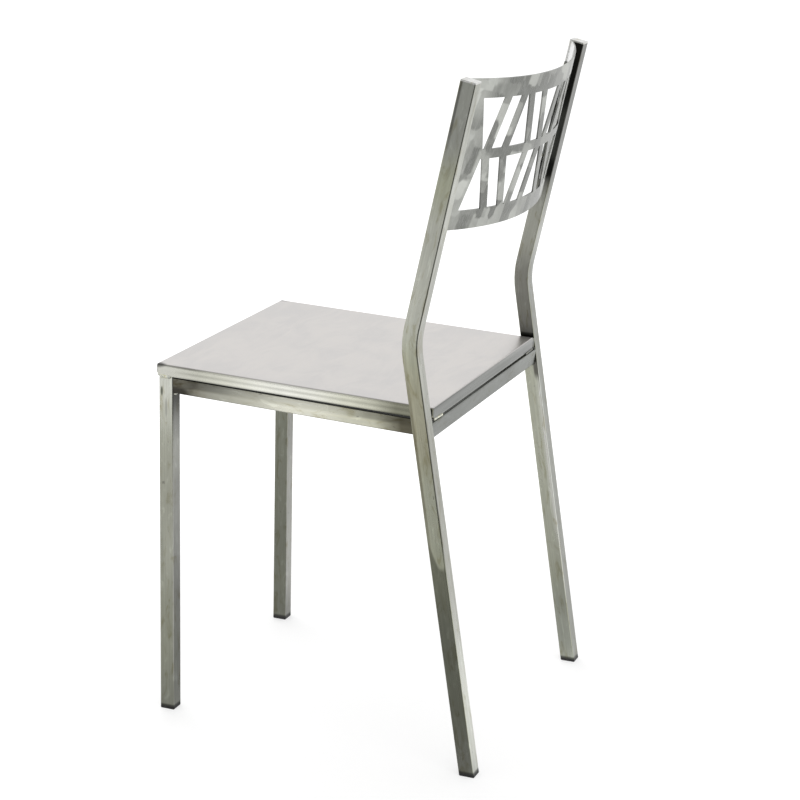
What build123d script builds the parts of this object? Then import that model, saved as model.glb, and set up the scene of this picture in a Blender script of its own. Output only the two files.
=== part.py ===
# Metal dining chair: a welded square-tube frame, a folded sheet seat and a curved, pierced backrest.
# Millimetres, +Z up, the sitter faces -Y, origin on the floor under the middle of the chair.
import os
from math import asin, cos, radians, sin, sqrt, tan

from build123d import *

# Square tube of the whole frame
tube_side = 20.0
tube_wall = 1.5
tube_corner = 1.5

# Seat pan, a tray folded from sheet with its flange turned down
seat_side_gap = 6.0
seat_depth = 379.0
seat_front_height = 476.0
seat_tilt = 1.5
seat_sheet = 2.0
seat_flange = 15.0
seat_fold_inside = 0.5
seat_corner_inside = 1.0
seat_corner_trim = 5.0

# Seat frame under the pan
rail_gap = 2.5
side_rail_rise = 0.6
side_rail_slope = 0.3
leg_clearance = 0.5
rear_rail_setback = 2.5

# Rear uprights, each one tube bent above the seat
frame_width = 432.5
back_height = 871.5
foot_slant = 9.7
back_lean = 11.55
bend_height = 549.5
bend_radius = 110.0
upright_setback = 1.5
cap_thickness = 2.0
cap_edge = 0.5

# Backrest panel between the uprights, bowed to the rear
panel_sheet = 2.0
panel_height = 188.5
panel_bow = 45.0
panel_forward = 6.0
panel_top_drop = 1.0

# Cut-outs of the panel: rows of leaning slots between triangles that point up and down
row_count = 2
slots_per_row = 9
panel_band = 24.0
row_spacing = 12.0
end_margin = 35.0
slot_bar = 14.0
slot_tip = 4.0

# Plastic end plugs of the feet
foot_rim = 4.0
foot_edge = 0.8
plug_length = 16.0
plug_clearance = 0.2

# Weld beads
weld_radius = 1.6
weld_sink = 0.8
seat_weld_length = 15.0
rear_weld_length = 30.0
rear_weld_inset = 2.0
panel_weld_length = 18.0
panel_weld_count = 3

# Directions, and a reach well past the chair for cutting planes
across = Vector(1, 0, 0)
upward = Vector(0, 0, 1)
lower_up = Vector(0, -sin(radians(foot_slant)), cos(radians(foot_slant)))
upper_up = Vector(0, sin(radians(back_lean)), cos(radians(back_lean)))
upper_rear = Vector(0, cos(radians(back_lean)), -sin(radians(back_lean)))
tilt_sin = sin(radians(seat_tilt))
tilt_cos = cos(radians(seat_tilt))
beyond = 2 * (back_height + frame_width + seat_depth)
SIDES = {"left": 1, "right": -1}

# Rails, measured in the tilted seat from its front edge and its top
tube_half = tube_side / 2
rail_top = -seat_flange - rail_gap
rail_middle = rail_top - tube_half
rail_bottom = rail_top - tube_side
rear_rail_middle = seat_depth + rear_rail_setback - tube_half
rear_rail_front = rear_rail_middle - tube_half
slope_rise = tan(radians(side_rail_slope))

# The uprights' lower centre line passes just behind the rear rail's, which sets where the rear feet stand
rail_run = rear_rail_middle * tilt_cos + rail_middle * tilt_sin
rail_height = seat_front_height - rear_rail_middle * tilt_sin + rail_middle * tilt_cos
foot_run = rail_run + upright_setback + rail_height * tan(radians(foot_slant))
seat_front = -(foot_run + tube_half / cos(radians(foot_slant))) / 2
foot_y = seat_front + foot_run
bend_y = foot_y - bend_height * tan(radians(foot_slant))
upright_x = frame_width / 2 - tube_half
inner_face = frame_width / 2 - tube_side
upright_top = Vector(0, bend_y + (back_height - bend_height) * tan(radians(back_lean)), back_height)

# The pan fits between the uprights, and the front legs stand inside its flange
seat_width = 2 * (inner_face - seat_side_gap)
seat_corner = seat_corner_inside + seat_sheet
leg_inset = seat_sheet + leg_clearance
leg_outer = seat_width / 2 - leg_inset
leg_x = leg_outer - tube_half
leg_inner = leg_outer - tube_side
leg_front = seat_front + leg_inset
leg_y = leg_front + tube_half
leg_rear = leg_front + tube_side

# Backrest arc and the spacing of its cut-outs
panel_radius = (inner_face**2 + panel_bow**2) / (2 * panel_bow)
panel_arc = 2 * panel_radius * asin(inner_face / panel_radius)
slot_pitch = (panel_arc - 2 * end_margin) / slots_per_row
slot_width = slot_pitch - slot_bar
slot_lean = slot_width - slot_tip
row_height = (panel_height - 2 * panel_band - (row_count - 1) * row_spacing) / row_count

seat_place = Location(Plane((0, seat_front, seat_front_height), x_dir=across, z_dir=(0, tilt_sin, tilt_cos)))
panel_base = upright_top - upper_up * (panel_top_drop + panel_height)
panel_axis = panel_base + upper_rear * (panel_bow - panel_forward - panel_radius)
panel_place = Location(Plane(panel_axis, x_dir=across, z_dir=upper_up))


def block(low, high):
    """A box between two corners."""
    size = Vector(*high) - Vector(*low)
    return Pos(*low) * Box(size.X, size.Y, size.Z, align=(Align.MIN, Align.MIN, Align.MIN))


def slab(low_z, high_z):
    """Everything between two heights."""
    return block((-beyond, -beyond, low_z), (beyond, beyond, high_z))


def outside():
    """Outline of the tube."""
    return RectangleRounded(tube_side, tube_side, tube_corner)


def inside(clearance=0.0):
    """Outline of the tube's bore, made smaller all round by a clearance."""
    side = tube_side - 2 * tube_wall - 2 * clearance
    return Rectangle(side, side)


def leg_shape(x, outline):
    """A front leg's outline carried from the foot's rim to the underside of the pan."""
    tall = extrude(Plane((x, leg_y, foot_rim)) * outline, seat_front_height)
    under_pan = seat_place * block((-beyond, -beyond, -beyond), (beyond, beyond, -seat_sheet))
    return tall & under_pan


def upright_shape(x, outline):
    """A rear upright's outline carried along its bent centre line, cut level above the foot's rim."""
    start = Vector(x, foot_y, 0) - lower_up * tube_side
    bend = Vector(x, bend_y, bend_height)
    end = upright_top + across * x - upper_up * cap_thickness
    path = FilletPolyline(start, bend, end, radius=bend_radius)
    section = Plane(start, x_dir=across, z_dir=lower_up) * outline
    return sweep(section, path=path) & slab(foot_rim, beyond)


def side_rail_shape(x, outline):
    """A side rail's outline carried from the front leg's rear face down to the rear rail's front face."""
    start = Vector(x, 0, rail_middle + side_rail_rise)
    section = Plane(start, x_dir=across, z_dir=(0, 1, -slope_rise)) * outline
    before_rail = block((-beyond, -beyond, -beyond), (beyond, rear_rail_front, beyond))
    behind_leg = block((-beyond, leg_rear, -beyond), (beyond, beyond, beyond))
    rail = extrude(section, seat_depth + tube_side) & before_rail
    return (seat_place * rail) & behind_leg


def cross_rail_shape(y, half_length, outline):
    """A front or rear rail's outline carried across the chair."""
    section = Plane((-half_length, y, rail_middle), x_dir=(0, 1, 0), z_dir=across) * outline
    return seat_place * extrude(section, 2 * half_length)


def tray(inset, height, fold, corner):
    """A block with rounded upright corners and a rounded top rim, inset from the pan's outside."""
    outline = RectangleRounded(seat_width - 2 * inset, seat_depth - 2 * inset, corner)
    solid = extrude(Plane((0, seat_depth / 2, -seat_flange)) * outline, height)
    return fillet(solid.edges().group_by(Axis.Z)[-1], fold)


def corner_trim(side, y, inward):
    """What is cut from the flange's lower corner, so that its end is rounded off."""
    diagonal = Vector(-side, inward, 0)
    tip = Vector(side * seat_width / 2, y, -seat_flange) + diagonal * seat_corner * (1 - sqrt(0.5))
    plane = Plane(tip, x_dir=diagonal, z_dir=diagonal.cross(upward))
    square = Rectangle(seat_corner_trim, seat_corner_trim, align=(Align.MIN, Align.MIN))
    waste = square - Pos(seat_corner_trim, seat_corner_trim) * Circle(seat_corner_trim)
    return extrude(plane * waste, 2 * seat_corner_trim, both=True)


def seat_pan():
    """The folded tray, its outside less its inside, with trimmed corners, laid in the tilted seat."""
    shell = tray(0, seat_flange, seat_fold_inside + seat_sheet, seat_corner)
    hollow = tray(seat_sheet, seat_flange - seat_sheet, seat_fold_inside, seat_corner_inside)
    pan = shell - hollow
    for side in SIDES.values():
        pan -= corner_trim(side, 0, 1)
        pan -= corner_trim(side, seat_depth, -1)
    return seat_place * pan


def slot_outline(kind):
    """One cut-out: each side leans left (-1) or right (1) towards the top."""
    left, right = ((-1, 1), (1, 1), (1, -1), (-1, -1))[kind % 4]
    half = slot_width / 2
    lean = slot_lean / 2
    top = row_height / 2
    corners = [
        (-half - left * lean, -top),
        (half - right * lean, -top),
        (half + right * lean, top),
        (-half + left * lean, top),
    ]
    return Polygon(*corners, align=None)


def backrest_panel():
    """The bowed sheet between the uprights, each cut-out made square to the sheet."""
    ring = Circle(panel_radius + panel_sheet / 2) - Circle(panel_radius - panel_sheet / 2)
    reach = panel_radius + panel_sheet
    panel = extrude(ring, panel_height) & block((-inner_face, 0, 0), (inner_face, reach, panel_height))
    for row in range(row_count):
        height = panel_band + row_height / 2 + row * (row_height + row_spacing)
        for place in range(slots_per_row):
            angle = (place - (slots_per_row - 1) / 2) * slot_pitch / panel_radius
            out = Vector(sin(angle), cos(angle), 0)
            plane = Plane(out * panel_radius + upward * height, x_dir=out.cross(upward), z_dir=out)
            panel -= extrude(plane * slot_outline(place + 2 * row), slot_width, both=True)
    return panel_place * panel


def foot_cap(x, y, direction):
    """A plastic end plug: a rim under the tube and a plug inside it, along the leg's direction."""
    plane = Plane(Vector(x, y, 0) - direction * tube_side, x_dir=across, z_dir=direction)
    rim = extrude(plane * outside(), 2 * tube_side + foot_rim) & slab(0, foot_rim)
    rim = chamfer(rim.edges().group_by(Axis.Z)[0], foot_edge)
    plug = extrude(plane * inside(plug_clearance), tube_side + foot_rim + plug_length)
    return rim + (plug & slab(foot_rim, beyond))


def top_cap(x):
    """A flat plate that closes the top of an upright."""
    plate = extrude(outside(), cap_thickness)
    plate = chamfer(plate.edges().group_by(Axis.Z)[-1], cap_edge)
    base = upright_top + across * x - upper_up * cap_thickness
    return Location(Plane(base, x_dir=across, z_dir=upper_up)) * plate


def bead(place, start, end, neighbours, radius=weld_radius):
    """A round weld bead between two points, trimmed to the pieces that it joins."""
    run = Vector(*end) - Vector(*start)
    rod = place * extrude(Plane(start, z_dir=run) * Circle(radius), run.length)
    for piece in neighbours:
        rod -= piece
    return rod


def seat_y(world_y, seat_z):
    """Distance behind the seat's front edge, along the seat, of an upright plane of the chair."""
    return (world_y - seat_front - seat_z * tilt_sin) / tilt_cos


pan = seat_pan()
panel = backrest_panel()
front_rail_middle = seat_y(leg_y, rail_middle)
front_rail = cross_rail_shape(front_rail_middle, leg_inner, outside())
rear_rail = cross_rail_shape(rear_rail_middle, inner_face, outside())

parts = {
    "seat_pan": pan,
    "backrest_panel": panel,
    "front_rail": front_rail - cross_rail_shape(front_rail_middle, leg_inner, inside()),
    "rear_rail": rear_rail - cross_rail_shape(rear_rail_middle, inner_face, inside()),
}

proud = weld_radius - weld_sink
run_half = tube_half - tube_corner
for name, side in SIDES.items():
    leg = leg_shape(side * leg_x, outside())
    upright = upright_shape(side * upright_x, outside())
    side_rail = side_rail_shape(side * leg_x, outside())
    parts["front_leg_" + name] = leg - leg_shape(side * leg_x, inside())
    parts["rear_upright_" + name] = upright - upright_shape(side * upright_x, inside())
    parts["side_rail_" + name] = side_rail - side_rail_shape(side * leg_x, inside())
    parts["foot_cap_front_" + name] = foot_cap(side * leg_x, leg_y, upward)
    parts["foot_cap_rear_" + name] = foot_cap(side * upright_x, foot_y, lower_up)
    parts["top_cap_" + name] = top_cap(side * upright_x)

    # Pan to front leg, under the side flange and under the front flange
    under = -seat_flange - proud
    middle = seat_y(leg_y, under)
    outer = side * (leg_outer + proud)
    front = seat_y(leg_front, under) - proud
    half = seat_weld_length / 2
    beads = bead(seat_place, (outer, middle - half, under), (outer, middle + half, under), (leg, pan))
    ends = side * (leg_x - half), side * (leg_x + half)
    beads += bead(seat_place, (ends[0], front, under), (ends[1], front, under), (leg, pan))
    parts["seat_front_weld_" + name] = beads

    # Pan to rear rail, a short bead across the gap near each end
    far = side * (seat_width / 2 - rear_weld_inset)
    near = far - side * rear_weld_length
    gap = -seat_flange - rail_gap / 2
    bridge = rail_gap / 2 + weld_sink
    start, end = (far, seat_depth, gap), (near, seat_depth, gap)
    parts["seat_rear_weld_" + name] = bead(seat_place, start, end, (pan, rear_rail), bridge)

    # Side rail to front leg, under the rail
    back = seat_y(leg_rear, rail_bottom) + proud
    side_low = rail_bottom + side_rail_rise - back * slope_rise - proud
    start, end = (side * (leg_x - run_half), back, side_low), (side * (leg_x + run_half), back, side_low)
    parts["side_rail_front_weld_" + name] = bead(seat_place, start, end, (leg, side_rail))

    # Side rail to rear rail, in the inner corner
    corner_x = side * (leg_inner - proud)
    corner_y = rear_rail_front - proud
    start, end = (corner_x, corner_y, rail_middle - run_half), (corner_x, corner_y, rail_middle + run_half)
    parts["side_rail_rear_weld_" + name] = bead(seat_place, start, end, (side_rail, rear_rail))

    # Front rail to front leg, under the rail
    low = rail_bottom - proud
    start, end = (corner_x, front_rail_middle - run_half, low), (corner_x, front_rail_middle + run_half, low)
    parts["front_rail_weld_" + name] = bead(seat_place, start, end, (leg, front_rail))

    # Rear rail to upright, above and under the rail
    beside = side * (inner_face - proud)
    y_range = rear_rail_middle - run_half, rear_rail_middle + run_half
    over = rail_top + proud
    beads = bead(seat_place, (beside, y_range[0], low), (beside, y_range[1], low), (upright, rear_rail))
    beads += bead(seat_place, (beside, y_range[0], over), (beside, y_range[1], over), (upright, rear_rail))
    parts["rear_rail_weld_" + name] = beads

    # Panel to upright, short beads in the hollow of the bow
    hollow = sqrt((panel_radius - panel_sheet / 2) ** 2 - inner_face**2) - proud
    spacing = (panel_height - panel_weld_length) / panel_weld_count
    beads = None
    for count in range(panel_weld_count):
        foot = (count + 0.5) * spacing
        start, end = (beside, hollow, foot), (beside, hollow, foot + panel_weld_length)
        run = bead(panel_place, start, end, (upright, panel))
        beads = run if beads is None else beads + run
    parts["backrest_weld_" + name] = beads

os.makedirs("parts", exist_ok=True)
for name, shape in parts.items():
    shape.label = name
    export_step(shape, f"parts/{name}.step")
print(len(parts), "nodes, slot", round(slot_width, 1), "wide, row", round(row_height, 1), "high")
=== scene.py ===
# Metal dining chair: brushed steel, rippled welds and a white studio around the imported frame. Metres, +Z up.
from collections import namedtuple
from math import cos, pi, radians, sin, tan

import bmesh
import bpy
from mathutils import Matrix, Vector


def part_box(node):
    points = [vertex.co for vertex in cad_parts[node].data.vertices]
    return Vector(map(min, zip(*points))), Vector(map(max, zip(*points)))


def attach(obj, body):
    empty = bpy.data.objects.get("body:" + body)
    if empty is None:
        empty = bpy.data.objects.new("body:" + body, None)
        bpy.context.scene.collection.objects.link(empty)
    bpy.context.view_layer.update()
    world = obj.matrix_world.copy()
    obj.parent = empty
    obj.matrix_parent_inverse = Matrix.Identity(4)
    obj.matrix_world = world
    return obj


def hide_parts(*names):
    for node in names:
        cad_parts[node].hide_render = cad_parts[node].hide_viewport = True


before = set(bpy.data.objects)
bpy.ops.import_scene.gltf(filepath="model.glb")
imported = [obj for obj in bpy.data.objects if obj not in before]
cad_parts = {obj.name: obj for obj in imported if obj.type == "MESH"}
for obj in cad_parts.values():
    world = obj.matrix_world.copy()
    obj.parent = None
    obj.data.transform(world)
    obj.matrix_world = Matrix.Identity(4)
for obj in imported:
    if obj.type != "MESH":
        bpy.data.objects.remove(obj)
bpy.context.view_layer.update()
scene = bpy.context.scene
scene.view_settings.view_transform = "Standard"

# Viewing angle of the photograph, in degrees and metres, and its lens in millimetres
view_azimuth = 111.431
view_elevation = 16.271
view_roll = 1.469
view_distance = 3.0446
view_height = 0.4072
view_aside = 0.0293
view_behind = -0.0001
sensor_width = 36.0
lens_length = 103.72

# Lines of the chair that the finishes follow
tube_half = 0.010
seat_low, seat_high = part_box("seat_pan")
seat_top = seat_high.z
seat_front = seat_low.y
seat_side = seat_high.x
seat_tilt = radians(1.5)
seat_depth = 0.379
seat_flange = 0.015
rail_band = 0.0235
panel_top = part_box("backrest_panel")[1].z
bend_rounding = 0.0005
bend_height = 0.5495
bend_softness = 0.02
foot_slant = radians(9.7)
back_lean = radians(11.55)
upright_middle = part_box("rear_upright_left")[0].y + tube_half + bend_rounding
leg_low, leg_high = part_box("front_leg_left")
leg_middle = (leg_low.y + leg_high.y) / 2

# Weld beads
weld_radius = 0.0015
front_weld_radius = 0.0027
corner_weld_radius = 0.0031
corner_weld_inset = 0.003
corner_weld_lip = 0.001
ripple_pitch = 0.0016
rings_per_ripple = 6
ring_sides = 14

# Marks on the tubes
stain_tint = (0.74, 0.71, 0.60)
polish_tint = (1.22, 1.23, 1.24)
speck_tone = (0.12, 0.11, 0.10)
dirt_tone = (0.05, 0.05, 0.047)
dirt_top = 0.0085
dirt_full = 0.0050

# How patches on the tubes end: between left and right, round a corner of the tube, and across a strip
side_blend = 0.05
corner_turn = (0.75, 0.92)
strip_soft = 0.1
tongue_middle = 0.35
tongue_length = -0.016
patch_wander = 0.02

# Unevenness of the side rails' tones along them, brushing of the backrest and depth of the fine bumps
rail_wander = 0.10
brushing_turn = radians(14)
brushing_scale = 42.0
bump_depth = 0.0004

# Studio: what lights the floor, and what the metal sees of the floor and the room
floor_reach = 14.0
floor_glow = 0.60
far_glow = 0.80
floor_white = 0.42
bounce_white = 0.8
sky_light = 0.85
ceiling_tone = 0.55
room_tone = 0.50
carpet_tone = 0.08
shade_reach = 6.0
camera_side = Vector((sin(radians(view_azimuth)), -cos(radians(view_azimuth)), 0))
mirror_side = Vector((camera_side.x, -camera_side.y, 0))
mirror_across = Vector((-mirror_side.y, mirror_side.x, 0))
# A glowing card on the floor, painted light seen only in the metal
card_place = (1.72, -0.03)
card_reach = (0.75, 0.42)
card_glow = 0.70
lamp_size = 2.4
key_place = (-1.6, -1.4, 2.4)
key_power = 40.0
fill_place = (1.8, 1.6, 2.6)
fill_power = 20.0

# A patch on the tubes: which tubes (1 left, -1 right, 0 both), the way its face looks, where it lies along
# the tube, how softly it ends, its tone, how strongly it covers, the strip across the tube that it keeps to,
# from -1 at the front to 1 at the rear, and its form. A "band" ends unevenly, a "line" straight across and a
# "tongue" in a curve, and an "oval" lies inside its strip
Patch = namedtuple("Patch", "side face low high soft tone cover strip form", defaults=(None, "band"))


class Tree:
    """A short way to write one node tree."""

    def __init__(self, owner):
        owner.use_nodes = True
        self.tree = owner.node_tree
        self.tree.nodes.clear()

    def add(self, kind, inputs=None, **settings):
        node = self.tree.nodes.new(kind)
        for key, value in settings.items():
            setattr(node, key, value)
        for key, value in (inputs or {}).items():
            self.put(node.inputs[key], value)
        return node

    def put(self, socket, value):
        if isinstance(value, bpy.types.NodeSocket):
            self.tree.links.new(value, socket)
        elif value is not None:
            socket.default_value = value

    def place(self):
        """The shaded point, in the frame's metres."""
        return self.add("ShaderNodeTexCoord").outputs["Object"]

    def normal(self):
        return self.add("ShaderNodeNewGeometry").outputs["Normal"]

    def math(self, operation, first, second=None, third=None):
        node = self.add("ShaderNodeMath", operation=operation)
        for socket, value in zip(node.inputs, (first, second, third)):
            self.put(socket, value)
        return node.outputs[0]

    def times(self, first, *others):
        for other in others:
            first = self.math("MULTIPLY", first, other)
        return first

    def offset(self, value, middle, reach):
        """How far a value lies from a middle, in units of a reach."""
        return self.math("DIVIDE", self.math("SUBTRACT", value, middle), reach)

    def wander(self, value, noise, reach):
        """A value moved to and fro by a noise, over a reach in all."""
        return self.math("ADD", value, self.math("MULTIPLY_ADD", noise, reach, -reach / 2))

    def weigh(self, first, second, share):
        """The first value by its share and the second by the rest."""
        return self.math("MULTIPLY_ADD", first, share, self.times(second, 1 - share))

    def vector(self, operation, first, second=None):
        node = self.add("ShaderNodeVectorMath", operation=operation)
        for socket, value in zip(node.inputs, (first, second)):
            self.put(socket, value)
        return node.outputs["Value" if operation in ("DOT_PRODUCT", "LENGTH") else "Vector"]

    def split(self, vector):
        return self.add("ShaderNodeSeparateXYZ", {"Vector": vector}).outputs

    def join(self, x, y, z):
        return self.add("ShaderNodeCombineXYZ", {"X": x, "Y": y, "Z": z}).outputs[0]

    def fade(self, value, low, high, first=0.0, last=1.0):
        """A smooth step from first at low to last at high."""
        inputs = {"Value": value, "From Min": low, "From Max": high, "To Min": first, "To Max": last}
        return self.add("ShaderNodeMapRange", inputs, interpolation_type="SMOOTHSTEP").outputs["Result"]

    def between(self, value, low, high, soft):
        """1 from low to high and 0 beyond, with soft edges."""
        rise = self.fade(value, low - soft, low + soft)
        return self.times(rise, self.fade(value, high + soft, high - soft))

    def mix(self, factor, first, second, blend="MIX"):
        node = self.add("ShaderNodeMix", data_type="RGBA", blend_type=blend, clamp_factor=True)
        for name, value in (("Factor_Float", factor), ("A_Color", first), ("B_Color", second)):
            socket = next(s for s in node.inputs if s.identifier == name)
            self.put(socket, colour(value))
        return next(s for s in node.outputs if s.identifier == "Result_Color")

    def tint(self, tone, tint, cover=1.0):
        return self.mix(cover, tone, tint, "MULTIPLY")

    def noise(self, vector, scale=1.0, detail=2.0, rough=0.5, warp=0.0):
        inputs = {"Vector": vector, "Scale": scale, "Detail": detail, "Roughness": rough, "Distortion": warp}
        return self.add("ShaderNodeTexNoise", inputs).outputs["Fac"]

    def ramp(self, value, stops):
        """A colour ramp through (place, tone) stops."""
        node = self.add("ShaderNodeValToRGB", {"Fac": value})
        marks = node.color_ramp.elements
        while len(marks) < len(stops):
            marks.new(0.5)
        for mark, (place, tone) in zip(marks, stops):
            mark.position = place
            mark.color = colour(tone)
        return node.outputs["Color"]


def colour(value):
    """A triple as a colour with full alpha; anything else as it is."""
    if isinstance(value, tuple) and len(value) == 3:
        return (*value, 1.0)
    return value


def grey(value):
    return (value, value, value)


def greys(*stops):
    """The stops of a ramp from grey levels."""
    return [(place, grey(level)) for place, level in stops]


def new_material(name):
    material = bpy.data.materials.new(name)
    return material, Tree(material)


def below_seat(tree, place):
    """Depth below the seat's sloping top."""
    _, y, z = tree.split(place)[:3]
    drop = tree.times(tree.math("SUBTRACT", y, seat_front), tan(seat_tilt))
    return tree.math("SUBTRACT", tree.math("SUBTRACT", seat_top, drop), z)


def seat_share(tree, place):
    """Share of the seat's depth, from 0 at its front edge to 1 at its rear edge."""
    return tree.offset(tree.split(place)["Y"], seat_front, seat_depth)


def straightened(tree, place):
    """Places on the bent uprights as if their tubes stood upright."""
    x, y, z = tree.split(place)[:3]
    above = tree.math("SUBTRACT", z, bend_height)
    lower = tree.times(above, -tan(foot_slant))
    upper = tree.times(above, tan(back_lean))
    lean = tree.math("SMOOTH_MAX", lower, upper, bend_softness)
    return tree.join(x, tree.math("SUBTRACT", y, lean), z)


def stretched(tree, place, axis, along, across):
    """Coordinates for a texture drawn out along one axis."""
    scale = [across, across, across]
    scale["XYZ".index(axis)] = along
    return tree.vector("MULTIPLY", place, tuple(scale))


def finish_metal(tree, base, roughness, height, bump, anisotropy=0.0, axis=None):
    """The metal shader with its bump, and brush lines round an axis if one is given."""
    inputs = {"Height": height, "Strength": bump, "Distance": bump_depth}
    normal = tree.add("ShaderNodeBump", inputs).outputs[0]
    inputs = {"Base Color": base, "Metallic": 1.0, "Roughness": roughness, "Normal": normal}
    if axis:
        inputs["Anisotropic"] = anisotropy
        inputs["Tangent"] = tree.add("ShaderNodeTangent", direction_type="RADIAL", axis=axis).outputs[0]
    shader = tree.add("ShaderNodeBsdfPrincipled", inputs)
    tree.add("ShaderNodeOutputMaterial", {"Surface": shader.outputs[0]})


def patch_mask(tree, patch, place, normal, along, cross):
    """Where a patch covers the tubes, from 0 to 1."""
    if patch.form == "oval":
        low, high = patch.strip
        off_along = tree.offset(along, (patch.low + patch.high) / 2, (patch.high - patch.low) / 2)
        off_cross = tree.offset(cross, (low + high) / 2, (high - low) / 2)
        off_centre = tree.vector("LENGTH", tree.join(off_along, off_cross, 0.0))
        mask = tree.fade(off_centre, 1.0 + patch.soft, 1.0 - patch.soft)
    else:
        if patch.form == "tongue":
            aside = tree.math("SUBTRACT", cross, tongue_middle)
            along = tree.math("ADD", along, tree.times(aside, aside, tongue_length))
        mask = tree.between(along, patch.low, patch.high, patch.soft)
        if patch.strip:
            mask = tree.times(mask, tree.between(cross, *patch.strip, strip_soft))
    if patch.side:
        edge = side_blend * patch.side
        mask = tree.times(mask, tree.fade(tree.split(place)["X"], -edge, edge))
    facing = tree.vector("DOT_PRODUCT", normal, patch.face)
    return tree.times(mask, tree.fade(facing, *corner_turn), patch.cover)


def tube_steel(name, axis, sides, others, patches=(), middle=0.0, bent=False, shade=None):
    """Drawn square tube, brushed along its length: cloudy tones, patches, stains, specks and fine lines."""
    material, tree = new_material(name)
    place, normal = tree.place(), tree.normal()
    run = straightened(tree, place) if bent else place
    lines = tree.noise(stretched(tree, run, axis, 4.0, 700.0), detail=3.0, rough=0.6)
    bands = tree.noise(stretched(tree, run, axis, 2.0, 130.0), detail=2.0)
    clouds = tree.noise(stretched(tree, run, axis, 12.0, 40.0), detail=3.0, warp=0.6)
    cloudy = tree.fade(tree.weigh(bands, clouds, 0.5), 0.36, 0.64)

    # The faces to the sides have their own tones, then patches cover them
    facing = tree.math("ABSOLUTE", tree.split(normal)["Y" if axis == "X" else "X"])
    side_tone = shade(tree, place, clouds, lines) if shade else tree.mix(cloudy, *sides)
    tone = tree.mix(tree.fade(facing, 0.4, 0.6), tree.mix(cloudy, *others), side_tone)
    along = tree.split(place)[axis]
    cross = tree.offset(tree.split(run)["Y"], middle, tube_half)
    uneven = tree.wander(along, clouds, patch_wander)
    for patch in patches:
        reach = along if patch.form in ("line", "oval") else uneven
        tone = tree.mix(patch_mask(tree, patch, place, normal, reach, cross), tone, patch.tone)

    # Stains and polished spots, dirt at the feet of upright tubes, brush lines and specks
    stains = tree.noise(stretched(tree, run, axis, 34.0, 110.0), detail=4.0, rough=0.6, warp=0.8)
    tone = tree.tint(tone, stain_tint, tree.fade(stains, 0.52, 0.70, 0.0, 0.85))
    tone = tree.tint(tone, polish_tint, tree.fade(stains, 0.44, 0.28))
    if axis == "Z":
        tone = tree.mix(tree.fade(along, dirt_top, dirt_full, 0.0, 0.85), tone, dirt_tone)
    gleam = tree.fade(lines, 0.35, 0.75, 0.95, 1.10)
    tone = tree.tint(tone, tree.join(gleam, gleam, gleam))
    specks = tree.noise(stretched(tree, run, axis, 90.0, 300.0), detail=1.0)
    tone = tree.mix(tree.fade(specks, 0.755, 0.80, 0.0, 0.55), tone, speck_tone)
    rough = tree.math("MULTIPLY_ADD", lines, 0.10, tree.fade(clouds, 0.3, 0.7, 0.22, 0.30))
    finish_metal(tree, tone, rough, lines, 0.08, 0.45, axis)
    return material


def rail_shade(tree, place, clouds, lines):
    """Tones of a side rail's outer face: dark at its ends, partly weld scorch and partly painted shade, with a
    painted highlight past the middle and low down.
    """
    share = tree.wander(seat_share(tree, place), clouds, rail_wander)
    # Along the rail: dark ends, partly scorch and partly painted shade, and a painted highlight past the
    # middle
    along = tree.ramp(share, [
        (0.035, (0.022, 0.021, 0.018)), (0.075, (0.072, 0.068, 0.060)), (0.108, (0.070, 0.067, 0.056)),
        (0.162, (0.38, 0.377, 0.325)), (0.22, (0.47, 0.47, 0.41)), (0.36, (0.66, 0.66, 0.575)),
        (0.47, (0.90, 0.90, 0.79)), (0.58, (0.90, 0.90, 0.79)), (0.68, (0.78, 0.78, 0.66)),
        (0.79, (0.73, 0.73, 0.60)), (0.88, (0.16, 0.15, 0.11)),
    ])
    # Painted shade under the seat's flange: darker towards the top of the face
    level = tree.offset(below_seat(tree, place), seat_flange, rail_band)
    tone = tree.tint(along, tree.ramp(level, greys(
        (0.10, 0.55), (0.25, 0.71), (0.50, 0.81), (0.64, 1.0), (0.78, 0.95), (0.95, 1.0),
    )))

    # Painted shade, darker above the middle towards both ends and in a patch behind the leg, then scorch
    # blotches there
    front_painted_shade = tree.times(tree.fade(share, 0.34, 0.18), tree.fade(share, 0.08, 0.14))
    rear_painted_shade = tree.times(tree.fade(share, 0.66, 0.78), tree.fade(share, 0.92, 0.82))
    upper = tree.fade(level, 0.62, 0.45, 0.0, 0.33)
    tone = tree.mix(tree.times(tree.math("ADD", front_painted_shade, rear_painted_shade), upper), tone, grey(0.0))
    leg_painted_shade = tree.times(tree.fade(share, 0.150, 0.110), tree.fade(level, 0.68, 0.44, 0.0, 0.9))
    tone = tree.mix(leg_painted_shade, tone, (0.180, 0.175, 0.144))
    blotches = tree.noise(stretched(tree, place, "Y", 90.0, 200.0), detail=3.0, warp=0.8)
    scorch = tree.times(tree.fade(blotches, 0.42, 0.60), tree.fade(share, 0.22, 0.08, 0.0, 0.50))
    tone = tree.tint(tone, (0.55, 0.47, 0.36), scorch)
    return tree.tint(tone, (0.80, 0.78, 0.70), tree.fade(lines, 0.35, 0.70, 0.0, 0.5))


def cross_shade(tree, place, clouds, lines):
    """Tones of a cross rail's outer face: an even grey, paler towards the right end."""
    tone = tree.mix(tree.fade(clouds, 0.36, 0.64), (0.190, 0.199, 0.185), (0.236, 0.245, 0.230))
    return tree.tint(tone, grey(1.22), tree.fade(tree.split(place)["X"], -0.07, -0.19))


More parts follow.
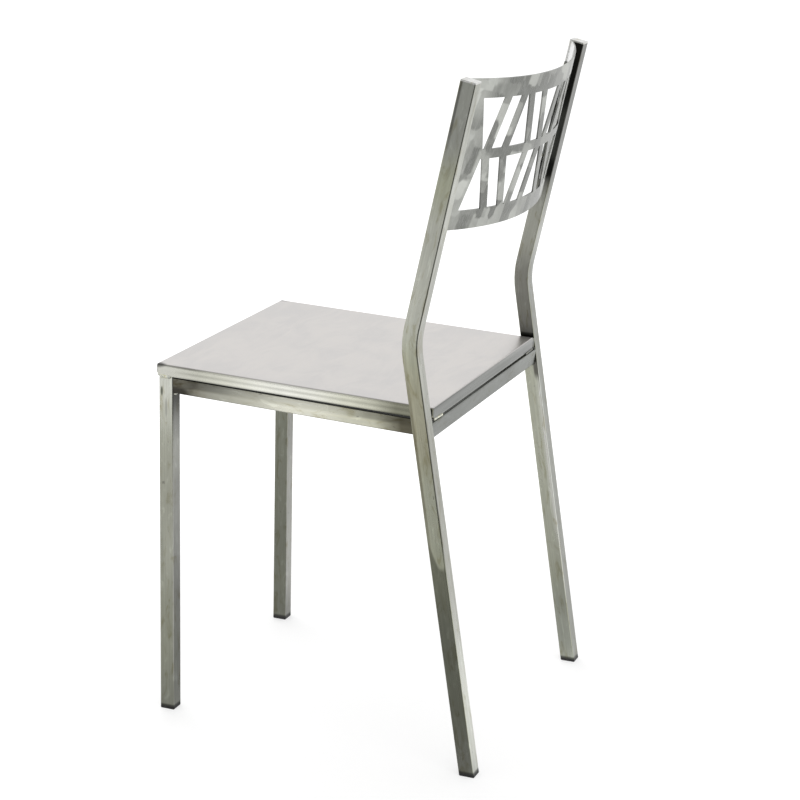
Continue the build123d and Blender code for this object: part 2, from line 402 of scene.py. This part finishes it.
def seat_steel():
    """The seat's sheet: a pale, cloudy top and flanges brushed along their length, with painted highlights and
    painted shade on the flanges.
    """
    material, tree = new_material("seat_steel")
    place = tree.place()
    x, y, z = tree.split(place)[:3]
    from_middle = tree.math("ABSOLUTE", x)
    facing = tree.math("ABSOLUTE", tree.split(tree.normal())["X"])
    depth = tree.math("DIVIDE", below_seat(tree, place), seat_flange)
    share = seat_share(tree, place)

    # Top: soft warm clouds and long faint wisps
    clouds = tree.noise(place, 7.0, 3.0, 0.5, 0.6)
    wisps = tree.noise(stretched(tree, place, "X", 10.0, 26.0), detail=4.0, rough=0.6, warp=1.2)
    cloudy = tree.weigh(clouds, wisps, 0.6)
    top = tree.mix(tree.fade(cloudy, 0.38, 0.62), (0.640, 0.622, 0.610), (0.732, 0.706, 0.684))

    # Side flanges: two painted highlight streaks with a darker line between, palest in the middle as painted
    # light, dull and yellowish at the rear, partly heat tint and partly painted shade, with painted shade in
    # the fold near the front
    side_lines = tree.noise(stretched(tree, place, "Y", 6.0, 500.0), detail=3.0, rough=0.6)
    painted_streaks = tree.ramp(depth, greys(
        (0.00, 0.58), (0.08, 0.60), (0.17, 0.80), (0.25, 0.93), (0.33, 0.97), (0.42, 0.85),
        (0.52, 0.70), (0.60, 0.78), (0.70, 0.97), (0.80, 1.0), (0.88, 0.92), (0.97, 0.50),
    ))
    along = tree.ramp(share, [
        (0.03, (0.80, 0.80, 0.73)), (0.16, (0.70, 0.70, 0.61)), (0.26, (0.80, 0.80, 0.70)),
        (0.37, (0.97, 0.97, 0.88)), (0.48, (1.0, 1.0, 0.92)), (0.58, (0.95, 0.95, 0.86)),
        (0.69, (0.84, 0.84, 0.71)), (0.79, (0.68, 0.68, 0.56)), (0.87, (0.31, 0.31, 0.235)),
    ])
    painted_streaks = tree.mix(tree.fade(share, 0.14, 0.05, 0.0, 0.8), painted_streaks, grey(0.97))
    side_tone = tree.tint(along, painted_streaks)
    side_tone = tree.mix(tree.fade(side_lines, 0.35, 0.70, 0.0, 0.18), side_tone, (0.40, 0.40, 0.33))
    painted_fold_shade = tree.times(tree.fade(depth, 0.20, 0.08), tree.fade(share, 0.20, 0.12, 0.0, 0.75))
    side_tone = tree.mix(painted_fold_shade, side_tone, (0.13, 0.13, 0.11))

    # Front and rear flanges: a dull grey, paler at the lower edge and towards the right end, with painted
    # light on the fold, dark at the left end and pale at the right
    end_lines = tree.noise(stretched(tree, place, "X", 6.0, 500.0), detail=3.0, rough=0.6)
    rightmost = tree.fade(x, seat_side, -seat_side)
    fold_painted_light = tree.mix(rightmost, (0.150, 0.154, 0.146), (0.36, 0.367, 0.35))
    end_tone = tree.mix(tree.fade(depth, 0.0, 0.45), fold_painted_light, (0.205, 0.213, 0.200))
    end_tone = tree.mix(tree.fade(x, -0.07, -0.19, 0.0, 0.35), end_tone, grey(0.36))
    end_tone = tree.mix(tree.fade(depth, 0.84, 0.94, 0.0, 0.8), end_tone, (0.30, 0.305, 0.29))
    end_tone = tree.mix(tree.fade(end_lines, 0.38, 0.70, 0.0, 0.22), end_tone, grey(0.36))
    edge = tree.mix(tree.fade(facing, 0.4, 0.6), end_tone, side_tone)
    tone = tree.mix(tree.fade(depth, 0.0, 0.07), top, edge)

    # Soot at the front corners, where the sheet was closed, and a dark line down each of their edges
    corner = tree.vector("SUBTRACT", tree.join(from_middle, y, z), (seat_side, seat_front, seat_top))
    corner = tree.vector("LENGTH", tree.vector("MULTIPLY", corner, (1.0, 0.55, 1.4)))
    soot = tree.times(tree.fade(corner, 0.0095, 0.0045), tree.fade(cloudy, 0.3, 0.6, 1.0, 0.6))
    tone = tree.mix(soot, tone, grey(0.02))
    beside = tree.math("SUBTRACT", from_middle, seat_side)
    behind = tree.math("SUBTRACT", y, seat_front)
    rim = tree.fade(tree.vector("LENGTH", tree.join(beside, behind, 0.0)), 0.0024, 0.0010, 0.0, 0.8)
    tone = tree.mix(rim, tone, (0.06, 0.06, 0.055))
    fine = tree.noise(place, 900.0, 2.0)
    smoother = tree.fade(depth, 0.04, 0.16, 0.0, -0.08)
    rough = tree.math("ADD", tree.fade(cloudy, 0.3, 0.7, 0.32, 0.40), smoother)
    finish_metal(tree, tone, rough, fine, 0.05)
    return material


def panel_steel():
    """The backrest's sheet: overlapping patches of hand brushing, each with its own sheen."""
    material, tree = new_material("backrest_steel")
    place = tree.place()
    x, _, z = tree.split(place)[:3]
    inputs = {"Vector": place, "Angle": brushing_turn}
    turned = tree.add("ShaderNodeVectorRotate", inputs, rotation_type="Y_AXIS").outputs[0]
    patch_place = stretched(tree, turned, "Y", 5.0, brushing_scale)
    inputs = {"Vector": patch_place, "Scale": 1.0, "Smoothness": 0.22, "Randomness": 0.8}
    patches = tree.add("ShaderNodeTexVoronoi", inputs, feature="SMOOTH_F1", distance="CHEBYCHEV")
    patch = tree.split(patches.outputs["Color"])[0]
    clouds = tree.noise(place, 22.0, 3.0, 0.55, 0.5)

    # Painted reflections: paler at both ends, most of all at the left end's top
    ends = tree.math("ADD", tree.fade(x, -0.11, -0.18, -0.09, 0.10), tree.fade(x, 0.10, 0.17, 0.0, 0.11))
    high_up = tree.fade(z, panel_top - 0.07, panel_top - 0.03, 0.0, 0.32)
    left_top_painted_reflection = tree.times(tree.fade(x, 0.12, 0.18), high_up)
    sheen = tree.math("ADD", tree.weigh(patch, clouds, 0.6), tree.math("ADD", ends, left_top_painted_reflection))
    tone = tree.ramp(sheen, [
        (0.28, (0.195, 0.20, 0.185)), (0.50, (0.335, 0.342, 0.317)), (0.80, (0.60, 0.613, 0.573)),
    ])
    lines = tree.noise(stretched(tree, turned, "Z", 8.0, 500.0), detail=3.0, rough=0.6)
    tone = tree.mix(tree.fade(lines, 0.40, 0.75, 0.0, 0.15), tone, grey(0.7))

    # A painted white highlight in the right top corner of the hollow side
    hollow_side = tree.fade(tree.split(tree.normal())["Y"], -0.4, -0.7)
    right_end = tree.fade(x, -0.145, -0.165)
    gleam = tree.times(hollow_side, right_end, tree.fade(z, panel_top - 0.042, panel_top - 0.026))
    tone = tree.mix(gleam, tone, grey(0.93))
    rough = tree.math("MULTIPLY_ADD", lines, 0.10, tree.fade(sheen, 0.2, 0.8, 0.22, 0.32))
    finish_metal(tree, tone, rough, lines, 0.08)
    return material


def weld_steel(name, tones):
    """Weld metal with cloudy heat tints in three tones."""
    material, tree = new_material(name)
    place = tree.place()
    tint = tree.noise(place, 160.0, 2.0)
    tone = tree.ramp(tint, list(zip((0.30, 0.48, 0.66), tones)))
    grain = tree.noise(place, 1500.0, 2.0)
    finish_metal(tree, tone, tree.fade(grain, 0.3, 0.7, 0.40, 0.60), grain, 0.15)
    return material


def foot_plastic():
    """Black moulded plastic with a fine grain and scuffed patches."""
    material, tree = new_material("foot_plastic")
    place = tree.place()
    grain = tree.noise(place, 1600.0, 2.0)
    scuffs = tree.fade(tree.noise(place, 260.0, 3.0, 0.6), 0.50, 0.70)
    tone = tree.mix(scuffs, (0.010, 0.010, 0.010), (0.030, 0.030, 0.029))
    rough = tree.fade(scuffs, 0.0, 1.0, 0.38, 0.55)
    inputs = {"Height": grain, "Strength": 0.2, "Distance": bump_depth / 2}
    normal = tree.add("ShaderNodeBump", inputs).outputs[0]
    inputs = {"Base Color": tone, "Roughness": rough, "Normal": normal}
    shader = tree.add("ShaderNodeBsdfPrincipled", inputs)
    tree.add("ShaderNodeOutputMaterial", {"Surface": shader.outputs[0]})
    return material


def dress(node, material):
    """Puts one material on a node of the frame."""
    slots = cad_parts[node].data.materials
    slots.clear()
    slots.append(material)


def islands(mesh):
    """The separate solids of a mesh, each as a list of points."""
    work = bmesh.new()
    work.from_mesh(mesh)
    bmesh.ops.remove_doubles(work, verts=work.verts, dist=1e-6)
    waiting = set(work.verts)
    groups = []
    while waiting:
        front = [waiting.pop()]
        group = []
        while front:
            vert = front.pop()
            group.append(vert.co.copy())
            near = {edge.other_vert(vert) for edge in vert.link_edges} & waiting
            waiting -= near
            front.extend(near)
        groups.append(group)
    work.free()
    return sorted(groups, key=lambda group: tuple(group[0]))


def bead_line(points):
    """The two ends of a bead: the middles of the faces at the far ends of its longest side."""
    low = Vector([min(p[i] for p in points) for i in range(3)])
    high = Vector([max(p[i] for p in points) for i in range(3)])
    axis = max(range(3), key=lambda i: high[i] - low[i])
    ends = []
    for edge in (low[axis], high[axis]):
        nearest = [p for p in points if abs(p[axis] - edge) < 0.1 * (high[axis] - low[axis])]
        ends.append(sum(nearest, Vector()) / len(nearest))
    return ends


def rippled_bead(work, start, end, radius):
    """A bead of overlapping ripples from start to end, closed by rounded ends."""
    run = end - start
    length = run.length
    turn = run.to_track_quat("Z", "Y").to_matrix()
    count = max(2, round(length / ripple_pitch)) * rings_per_ripple
    rings = []
    for step in range(count + 1):
        share = step / count
        phase = (step % rings_per_ripple) / rings_per_ripple
        taper = min(1.0, (4 * min(share, 1 - share) * length / (2 * radius)) ** 0.5)
        swell = (0.82 + 0.18 * sin(pi * phase) ** 0.7) * max(taper, 0.05)
        sway = 0.06 * radius * sin(7 * share * length / ripple_pitch)
        ring = []
        for side in range(ring_sides):
            angle = 2 * pi * side / ring_sides
            lead = 0.35 * ripple_pitch * cos(2 * angle) * taper
            across = cos(angle) * radius * swell + sway
            local = Vector((across, sin(angle) * radius * swell, share * length + lead))
            ring.append(work.verts.new(start + turn @ local))
        rings.append(ring)
    for first, second in zip(rings, rings[1:]):
        for side in range(ring_sides):
            after = (side + 1) % ring_sides
            work.faces.new((first[side], first[after], second[after], second[side]))
    work.faces.new(list(reversed(rings[0])))
    work.faces.new(rings[-1])


def corner_run():
    """The ends of the bead that closes the gap between the seat's right rear corner and the upright."""
    middle = (seat_low.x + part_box("rear_upright_right")[1].x) / 2
    corner_top = seat_top - seat_depth * sin(seat_tilt)
    drops = (seat_flange, corner_weld_lip)
    return [Vector((middle, seat_high.y - corner_weld_inset, corner_top - drop)) for drop in drops]


def weld_piece(node, material, radius, runs=()):
    """Rippled beads in place of a node's plain rods, and along any other runs given."""
    work = bmesh.new()
    for points in islands(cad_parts[node].data):
        start, end = bead_line(points)
        rippled_bead(work, start, end, radius)
    for start, end in runs:
        rippled_bead(work, start, end, corner_weld_radius)
    for face in work.faces:
        face.smooth = True
    mesh = bpy.data.meshes.new(node + "_bead")
    work.to_mesh(mesh)
    work.free()
    mesh.materials.append(material)
    piece = bpy.data.objects.new(node + "_bead", mesh)
    scene.collection.objects.link(piece)
    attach(piece, "root")
    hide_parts(node)


def by_ray(tree, straight, mirrored, other):
    """One shader for camera and transmission rays, one for glossy rays and one for the rest."""
    path = tree.add("ShaderNodeLightPath").outputs
    direct = tree.math("MAXIMUM", path["Is Camera Ray"], path["Is Transmission Ray"])
    inputs = {0: direct, 1: other.outputs[0], 2: straight.outputs[0]}
    first = tree.add("ShaderNodeMixShader", inputs)
    inputs = {0: path["Is Glossy Ray"], 1: first.outputs[0], 2: mirrored.outputs[0]}
    return tree.add("ShaderNodeMixShader", inputs).outputs[0]


def mirrored_paper(tree, place, distance):
    """What the metal sees of the floor: a painted shadow under the chair, pale rings of painted light, a
    glowing card, a dim carpet.
    """
    heading = tree.vector("NORMALIZE", place)
    ring = tree.math("DIVIDE", distance, shade_reach)
    # Painted shadow under the chair, then painted light in pale rings further out
    far_side = tree.ramp(ring, greys((0.03, 0.35), (0.06, 0.90), (0.20, 1.0)))
    near_side = tree.ramp(ring, greys(
        (0.02, 0.33), (0.07, 0.50), (0.14, 0.60), (0.22, 0.62), (0.32, 0.60), (0.385, 0.94),
        (0.43, 1.0), (0.50, 1.0), (0.58, 0.81), (0.68, 0.59), (0.80, 0.36), (0.92, 0.30),
    ))
    nearer = tree.fade(tree.vector("DOT_PRODUCT", heading, tuple(mirror_side)), 0.0, 0.6)
    paper = tree.mix(nearer, far_side, near_side)
    ahead = tree.vector("DOT_PRODUCT", place, tuple(mirror_side))
    aside = tree.vector("DOT_PRODUCT", place, tuple(mirror_across))
    off_ahead = tree.offset(ahead, card_place[0], card_reach[0])
    off_aside = tree.offset(aside, card_place[1], card_reach[1])
    off_card = tree.vector("LENGTH", tree.join(off_ahead, off_aside, 0.0))
    # A glowing card: painted light seen only in the metal
    card = tree.fade(off_card, 1.0, 0.1, 0.0, card_glow)
    paper = tree.mix(1.0, paper, tree.join(card, card, card), "ADD")
    toward = tree.fade(tree.vector("DOT_PRODUCT", heading, tuple(camera_side)), 0.80, 0.93)
    carpet = tree.times(toward, tree.fade(distance, 0.8, 1.3))
    return tree.mix(carpet, paper, grey(carpet_tone))


def studio_floor():
    """A white floor that keeps a soft shadow, and that the metal sees in other tones, with painted light and
    shadow.
    """
    work = bmesh.new()
    bmesh.ops.create_circle(work, cap_ends=True, segments=96, radius=floor_reach)
    mesh = bpy.data.meshes.new("floor")
    work.to_mesh(mesh)
    work.free()
    floor = bpy.data.objects.new("floor", mesh)
    scene.collection.objects.link(floor)

    material, tree = new_material("floor_paper")
    place = tree.place()
    distance = tree.vector("LENGTH", place)
    paper = mirrored_paper(tree, place, distance)
    seen = tree.add("ShaderNodeEmission", {"Color": paper, "Strength": 1.0})
    strength = tree.fade(distance, 0.45, 1.1, floor_glow, far_glow)
    glow = tree.add("ShaderNodeEmission", {"Color": colour(grey(1.0)), "Strength": strength})
    lit = tree.add("ShaderNodeBsdfDiffuse", {"Color": colour(grey(floor_white))})
    plain = tree.add("ShaderNodeBsdfDiffuse", {"Color": colour(grey(bounce_white))})
    white = tree.add("ShaderNodeAddShader", {0: glow.outputs[0], 1: lit.outputs[0]})
    tree.add("ShaderNodeOutputMaterial", {"Surface": by_ray(tree, white, seen, plain)})
    mesh.materials.append(material)


def studio_world():
    """White all round for the camera; metal sees a grey ceiling and a dim room behind the camera."""
    world = bpy.data.worlds.new("studio")
    scene.world = world
    tree = Tree(world)
    heading = tree.add("ShaderNodeTexCoord").outputs["Generated"]
    toward = tree.vector("DOT_PRODUCT", heading, tuple(camera_side))
    tone = tree.mix(tree.fade(tree.split(heading)["Z"], 0.55, 0.80), grey(1.0), grey(ceiling_tone))
    tone = tree.mix(tree.fade(toward, 0.75, 0.90), tone, grey(room_tone))
    seen = tree.add("ShaderNodeBackground", {"Color": tone, "Strength": 1.0})
    white = tree.add("ShaderNodeBackground", {"Color": colour(grey(1.0)), "Strength": 1.0})
    soft = tree.add("ShaderNodeBackground", {"Color": colour(grey(1.0)), "Strength": sky_light})
    tree.add("ShaderNodeOutputWorld", {"Surface": by_ray(tree, white, seen, soft)})


def soft_lamp(name, place, power):
    """A large soft lamp aimed at the seat."""
    data = bpy.data.lights.new(name, "AREA")
    data.shape = "SQUARE"
    data.size = lamp_size
    data.energy = power
    lamp = bpy.data.objects.new(name, data)
    lamp.location = place
    aim = Vector((0, 0, seat_top)) - Vector(place)
    lamp.rotation_euler = aim.to_track_quat("-Z", "Y").to_euler()
    lamp.visible_glossy = False
    scene.collection.objects.link(lamp)


def photo_camera():
    """The camera at the photograph's angle, with its slight roll."""
    azimuth, elevation, roll = radians(view_azimuth), radians(view_elevation), radians(view_roll)
    back = Vector((sin(azimuth) * cos(elevation), -cos(azimuth) * cos(elevation), sin(elevation)))
    level = Vector((cos(azimuth), sin(azimuth), 0))
    upright = back.cross(level)
    right = cos(roll) * level + sin(roll) * upright
    above = cos(roll) * upright - sin(roll) * level
    target = Vector((0, view_behind, view_height)) + right * view_aside
    data = bpy.data.cameras.new("photo_camera")
    data.sensor_width = sensor_width
    data.lens = lens_length
    camera = bpy.data.objects.new("photo_camera", data)
    turn = Matrix((right, above, back)).transposed().to_4x4()
    camera.matrix_world = Matrix.Translation(target + back * view_distance) @ turn
    scene.collection.objects.link(camera)
    scene.camera = camera


# Patches in the order in which they cover each other. Left and right are the sitter's; patches that reach
# past a tube's end run to one of the three heights named here. Besides the steel's own tones, scale and heat
# tints, some patches are painted shade, painted highlights and painted reflections, as noted at each
left, right, both = 1, -1, 0
leftward, rightward, rearward, upward = (1, 0, 0), (-1, 0, 0), (0, 1, 0), (0, 0, 1)
diagonal = 0.7071
rear_left, front_left = (diagonal, diagonal, 0), (diagonal, -diagonal, 0)
foot, leg_end, top = -0.05, 0.50, 0.95
upright_patches = [
    # Left upright: outer face
    Patch(left, leftward, 0.39, 0.52, 0.040, (0.47, 0.43, 0.31), 0.45),
    Patch(left, leftward, 0.55, 0.72, 0.030, (0.62, 0.63, 0.555), 1.0),
    Patch(left, leftward, 0.775, top, 0.030, (0.45, 0.46, 0.415), 1.0),
    # Painted dark reflection along the front edge of the top
    Patch(left, leftward, 0.80, top, 0.020, (0.06, 0.06, 0.055), 0.6, (-2.0, -0.85)),
    Patch(left, leftward, foot, 0.270, 0.005, (0.235, 0.242, 0.185), 1.0, None, "tongue"),
    Patch(left, leftward, foot, 0.225, 0.040, (0.192, 0.198, 0.158), 1.0),
    Patch(left, leftward, foot, 0.060, 0.040, (0.26, 0.265, 0.23), 0.8),
    Patch(left, leftward, 0.30, 0.38, 0.030, (0.57, 0.585, 0.47), 0.8),
    Patch(left, leftward, 0.30, 0.50, 0.060, (0.20, 0.18, 0.12), 0.6, (-2.0, -0.82)),
    # Left upright: rear face, its outer corner, and the inner face beside the seat
    # Painted highlight low on the rear face
    Patch(left, rearward, foot, 0.16, 0.090, (0.80, 0.815, 0.745), 1.0),
    Patch(left, rearward, 0.28, 0.48, 0.060, (0.39, 0.395, 0.355), 1.0),
    Patch(left, rearward, 0.68, 0.80, 0.030, (0.57, 0.58, 0.53), 1.0),
    # Painted dark reflection along the rear outer corner
    Patch(left, rear_left, 0.28, top, 0.030, (0.08, 0.08, 0.07), 0.8),
    # Painted shade in the gap beside the seat
    Patch(left, rightward, 0.41, 0.475, 0.010, (0.04, 0.04, 0.038), 1.0),
    # Right upright: rear face and the corners of the inner face
    Patch(right, rearward, foot, top, 0.020, (0.325, 0.332, 0.303), 0.95),
    Patch(right, rearward, foot, 0.035, 0.020, (0.37, 0.378, 0.345), 1.0),
    Patch(right, rearward, 0.50, 0.58, 0.030, (0.36, 0.37, 0.345), 1.0),
    Patch(right, rearward, 0.58, 0.64, 0.020, (0.48, 0.485, 0.455), 1.0),
    Patch(right, rearward, 0.68, top, 0.030, (0.25, 0.252, 0.238), 1.0),
    # Painted highlight along the inner rear corner
    Patch(right, rear_left, 0.10, 0.42, 0.030, (0.80, 0.81, 0.76), 0.8),
    # Beside the backrest's end: a painted dark reflection on the inner rear corner and a painted white
    # highlight on the inner front corner
    Patch(right, rear_left, 0.67, top, 0.030, (0.05, 0.05, 0.047), 0.9),
    Patch(right, front_left, 0.67, top, 0.030, (0.95, 0.95, 0.93), 1.0),
    # Right upright: inner face
    Patch(right, leftward, foot, 0.11, 0.030, (0.60, 0.625, 0.54), 0.9),
    Patch(right, leftward, foot, 0.045, 0.025, (0.49, 0.51, 0.44), 0.9),
    Patch(right, leftward, 0.12, 0.43, 0.050, (0.67, 0.685, 0.57), 0.9),
    # Painted highlights on the rear half of the inner face
    Patch(right, leftward, 0.19, 0.40, 0.040, (0.97, 0.98, 0.90), 0.40, (0.10, 2.0)),
    Patch(right, leftward, 0.19, 0.40, 0.040, (1.0, 1.0, 0.94), 0.90, (0.45, 2.0)),
    # Painted shadow under the rear rail
    Patch(right, leftward, 0.408, 0.450, 0.006, (0.12, 0.115, 0.10), 0.85, (0.1, 2.0)),
    Patch(right, leftward, 0.50, top, 0.020, (0.315, 0.317, 0.285), 1.0),
    Patch(right, leftward, 0.575, 0.66, 0.025, (0.46, 0.465, 0.41), 1.0),
    # Painted shade at seat level, deepening into a dark line in the gap beside the seat
    Patch(right, leftward, 0.435, 0.515, 0.025, (0.235, 0.237, 0.217), 1.0),
    Patch(right, leftward, 0.437, 0.476, 0.016, (0.09, 0.09, 0.083), 1.0),
    Patch(right, leftward, 0.440, 0.4705, 0.0015, (0.02, 0.02, 0.018), 0.9, None, "line"),
    # Painted dark reflection of the backrest behind it, with a painted white highlight near the top
    Patch(right, leftward, 0.68, top, 0.020, (0.075, 0.077, 0.072), 1.0),
    Patch(right, leftward, 0.685, 0.712, 0.008, (0.02, 0.02, 0.019), 0.9),
    Patch(right, leftward, 0.79, top, 0.030, (0.02, 0.02, 0.019), 1.0),
    Patch(right, leftward, 0.816, 0.873, 0.10, (0.93, 0.93, 0.91), 1.0, (-1.95, -0.25), "oval"),
]
leg_patches = [
    # Left leg: outer face
    Patch(left, leftward, 0.385, leg_end, 0.030, (0.60, 0.61, 0.53), 1.0),
    Patch(left, leftward, 0.425, leg_end, 0.015, (0.73, 0.74, 0.665), 1.0),
    Patch(left, leftward, 0.26, 0.375, 0.030, (0.46, 0.467, 0.392), 1.0),
    Patch(left, leftward, 0.03, 0.18, 0.040, (0.42, 0.43, 0.345), 0.8),
    Patch(left, leftward, foot, 0.05, 0.050, (0.36, 0.37, 0.31), 0.8),
    Patch(left, leftward, 0.4335, 0.4455, 0.30, (0.10, 0.12, 0.11), 0.8, (-0.75, -0.45), "oval"),
    Patch(left, leftward, 0.405, 0.430, 0.30, (0.34, 0.345, 0.31), 0.6, (-0.15, 0.15), "oval"),
    # Left leg: outer rear corner and rear face
    # Painted highlight along the rear outer corner
    Patch(left, rear_left, 0.05, 0.36, 0.030, (0.66, 0.665, 0.61), 0.8),
    # Dark near the top of the rear outer corner, partly painted shade and partly soot
    Patch(left, rear_left, 0.395, leg_end, 0.020, (0.03, 0.03, 0.028), 0.9),
    Patch(left, rearward, foot, 0.13, 0.050, (0.40, 0.41, 0.365), 1.0),
    Patch(left, rearward, 0.15, leg_end, 0.050, (0.28, 0.283, 0.262), 1.0),
    Patch(left, rearward, 0.33, 0.375, 0.015, (0.34, 0.345, 0.315), 1.0),
    Patch(left, rearward, 0.385, leg_end, 0.015, (0.24, 0.242, 0.225), 1.0),
    # Painted shade at the top of the rear face, beside the side rail's end
    Patch(left, rearward, 0.41, leg_end, 0.020, (0.05, 0.05, 0.045), 1.0),
    # Right leg: inner and rear faces
    Patch(right, leftward, foot, leg_end, 0.010, (0.285, 0.293, 0.238), 1.0),
    Patch(right, leftward, foot, 0.05, 0.040, (0.23, 0.236, 0.195), 1.0),
    Patch(right, rearward, 0.13, leg_end, 0.050, (0.37, 0.372, 0.345), 1.0),
    Patch(right, rearward, 0.26, leg_end, 0.030, (0.30, 0.303, 0.282), 1.0),
    Patch(right, rearward, foot, 0.13, 0.050, (0.43, 0.433, 0.405), 1.0),
    Patch(right, rearward, foot, 0.035, 0.030, (0.36, 0.364, 0.335), 1.0),
]
rail_patches = [
    # Painted shadow on the top face, in the gap under the seat
    Patch(both, upward, -0.30, 0.30, 0.010, (0.020, 0.020, 0.018), 1.0),
]

# Finishes: each tube has a pair of tones for its faces to the sides and another for the rest
upright_sides = (0.47, 0.485, 0.375), (0.57, 0.585, 0.45)
upright_others = (0.44, 0.445, 0.405), (0.55, 0.557, 0.505)
leg_sides = (0.44, 0.45, 0.38), (0.55, 0.56, 0.475)
leg_others = (0.40, 0.404, 0.37), (0.50, 0.505, 0.46)
side_rail_others = (0.38, 0.38, 0.34), (0.52, 0.52, 0.47)
cross_rail_others = (0.185, 0.193, 0.180), (0.240, 0.248, 0.233)
cap_tones = (0.66, 0.66, 0.64), (0.76, 0.76, 0.74)
# Weld tones: a painted lit copy for the welds that catch the light and a painted shaded copy for the rest
painted_lit_weld_tones = (0.72, 0.74, 0.70), (0.92, 0.93, 0.82), (0.88, 0.86, 0.66)
painted_shaded_weld_tones = (0.24, 0.25, 0.25), (0.34, 0.35, 0.33), (0.30, 0.29, 0.24)
upright_finish = tube_steel(
    "upright_steel", "Z", upright_sides, upright_others, upright_patches, upright_middle, bent=True,
)
leg_finish = tube_steel("leg_steel", "Z", leg_sides, leg_others, leg_patches, leg_middle)
side_rail_finish = tube_steel(
    "side_rail_steel", "Y", None, side_rail_others, rail_patches, shade=rail_shade,
)
cross_rail_finish = tube_steel("cross_rail_steel", "X", None, cross_rail_others, shade=cross_shade)
cap_finish = tube_steel("cap_steel", "X", cap_tones, cap_tones)
painted_lit_weld = weld_steel("bright_weld_steel", painted_lit_weld_tones)
painted_shaded_weld = weld_steel("dull_weld_steel", painted_shaded_weld_tones)
plastic_finish = foot_plastic()

# The chair
weld_joints = (
    "seat_front", "seat_rear", "side_rail_front", "side_rail_rear", "front_rail", "rear_rail", "backrest",
)
dress("seat_pan", seat_steel())
dress("backrest_panel", panel_steel())
dress("front_rail", cross_rail_finish)
dress("rear_rail", cross_rail_finish)
for side in ("left", "right"):
    dress("rear_upright_" + side, upright_finish)
    dress("front_leg_" + side, leg_finish)
    dress("side_rail_" + side, side_rail_finish)
    dress("top_cap_" + side, cap_finish)
    dress("foot_cap_front_" + side, plastic_finish)
    dress("foot_cap_rear_" + side, plastic_finish)
    for joint in weld_joints:
        # Welds that catch the light take the painted lit weld steel, the others the painted shaded one
        bright = joint in ("seat_front", "side_rail_front") or (joint, side) == ("seat_rear", "left")
        radius = front_weld_radius if joint == "seat_front" else weld_radius
        runs = [corner_run()] if (joint, side) == ("seat_rear", "right") else []
        weld_piece(joint + "_weld_" + side, painted_lit_weld if bright else painted_shaded_weld, radius, runs)

# The studio
studio_floor()
studio_world()
soft_lamp("key_lamp", key_place, key_power)
soft_lamp("fill_lamp", fill_place, fill_power)
photo_camera()
